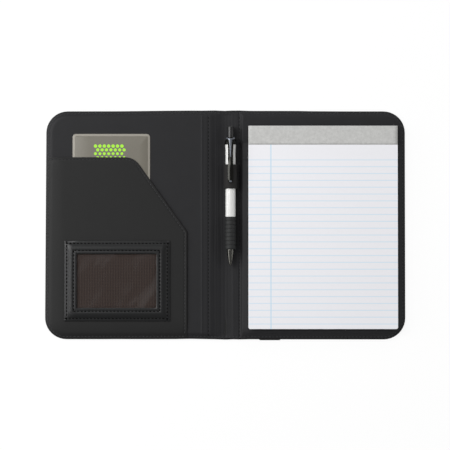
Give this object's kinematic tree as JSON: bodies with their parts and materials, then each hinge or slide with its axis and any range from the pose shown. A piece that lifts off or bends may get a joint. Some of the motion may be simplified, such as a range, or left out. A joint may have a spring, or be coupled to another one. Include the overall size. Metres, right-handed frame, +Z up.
{
  "type": "leather folio",
  "caption": "Open leather writing folio with a ruled pad, a click pen in a loop, a diagonal pocket with a card and a framed window.",
  "frame": {"origin": "middle of the open spread on the surface it lies on", "axes": "+X across the spread towards the pad, +Y towards the head of the pad, +Z up out of the inside faces"},
  "size_m": [0.359, 0.229, 0.0176],
  "materials": {
    "outer_leather": "fine smooth grain, satin",
    "lining_leather": "fine smooth grain, soft satin",
    "loop_leather": "smooth",
    "foam": "open cell padding",
    "board": "grey board",
    "chipboard": "chipboard",
    "paper": "ruled writing paper",
    "binding_tape": "mottled paper tape",
    "insert_card": "brown card",
    "pocket_card": "satin laminate",
    "clear_film": "clear vinyl",
    "white_plastic": "gloss",
    "black_plastic": "gloss",
    "grip_rubber": "matte",
    "bright_chrome": "polished",
    "dark_metal": "polished gunmetal",
    "spring_steel": "bright wire",
    "ink_tube": "translucent tube"
  },
  "bodies": {
    "back_cover": {"back_leather": "outer_leather", "back_foam": "foam", "back_board": "board", "back_lining": "lining_leather", "pad_sleeve": "lining_leather"},
    "spine_back": {"spine_leather_back": "outer_leather", "spine_lining_back": "lining_leather", "pen_loop": "loop_leather"},
    "spine_front": {"spine_leather_front": "outer_leather", "spine_lining_front": "lining_leather"},
    "front_cover": {"front_leather": "outer_leather", "front_foam": "foam", "front_board": "board", "front_lining": "lining_leather", "pocket_panel": "lining_leather", "window_frame": "outer_leather", "window_frame_filler": "foam", "window_film": "clear_film"},
    "pad": {"pad_backing": "chipboard", "pad_sheets": "paper", "pad_header_tape": "binding_tape"},
    "top_leaf": {"pad_top_leaf": "paper"},
    "pen": {"pen_barrel": "white_plastic", "pen_grip": "grip_rubber", "pen_cone": "dark_metal", "pen_clip": "bright_chrome"},
    "button": {"pen_button": "black_plastic"},
    "refill": {"pen_refill_tube": "ink_tube", "pen_refill_tip": "spring_steel", "pen_spring": "spring_steel"},
    "pocket_card": {"pocket_card": "pocket_card"},
    "window_card": {"window_card": "insert_card"}
  },
  "joints": [
    {"name": "cover_fold", "type": "hinge", "parent": "back_cover", "child": "spine_back", "pos_m": [0.0134, 0, 0.0019], "axis": [0, 1, 0], "range_deg": [0, 60]},
    {"name": "spine_fold", "type": "hinge", "parent": "spine_back", "child": "spine_front", "pos_m": [-0.0014, 0, 0.0019], "axis": [0, 1, 0], "range_deg": [0, 60]},
    {"name": "front_fold", "type": "hinge", "parent": "spine_front", "child": "front_cover", "pos_m": [-0.0162, 0, 0.0019], "axis": [0, 1, 0], "range_deg": [0, 60]},
    {"name": "pad_slide", "type": "slide", "parent": "back_cover", "child": "pad", "axis": [0, 1, 0], "range_m": [0, 0.2]},
    {"name": "leaf_turn", "type": "hinge", "parent": "pad", "child": "top_leaf", "pos_m": [0.0977, 0.08085, 0.01145], "axis": [-1, 0, 0], "range_deg": [0, 175]},
    {"name": "pen_slide", "type": "slide", "parent": "spine_back", "child": "pen", "axis": [0, 1, 0], "range_m": [0, 0.105]},
    {"name": "button_press", "type": "slide", "parent": "pen", "child": "button", "axis": [0, -1, 0], "range_m": [0, 0.0055], "stiffness_N_per_m": 300, "springref_m": -0.002},
    {"name": "refill_slide", "type": "slide", "parent": "pen", "child": "refill", "axis": [0, -1, 0], "range_m": [0, 0.0055], "deforming": ["pen_spring"]},
    {"name": "pocket_card_slide", "type": "slide", "parent": "front_cover", "child": "pocket_card", "axis": [0, 1, 0], "range_m": [0, 0.12]},
    {"name": "window_card_slide", "type": "slide", "parent": "front_cover", "child": "window_card", "axis": [0, 1, 0], "range_m": [0, 0.07]}
  ],
  "couplings": [
    {"joint": "front_fold", "follows": "cover_fold", "ratio": 1},
    {"joint": "refill_slide", "follows": "button_press", "ratio": 1}
  ]
}
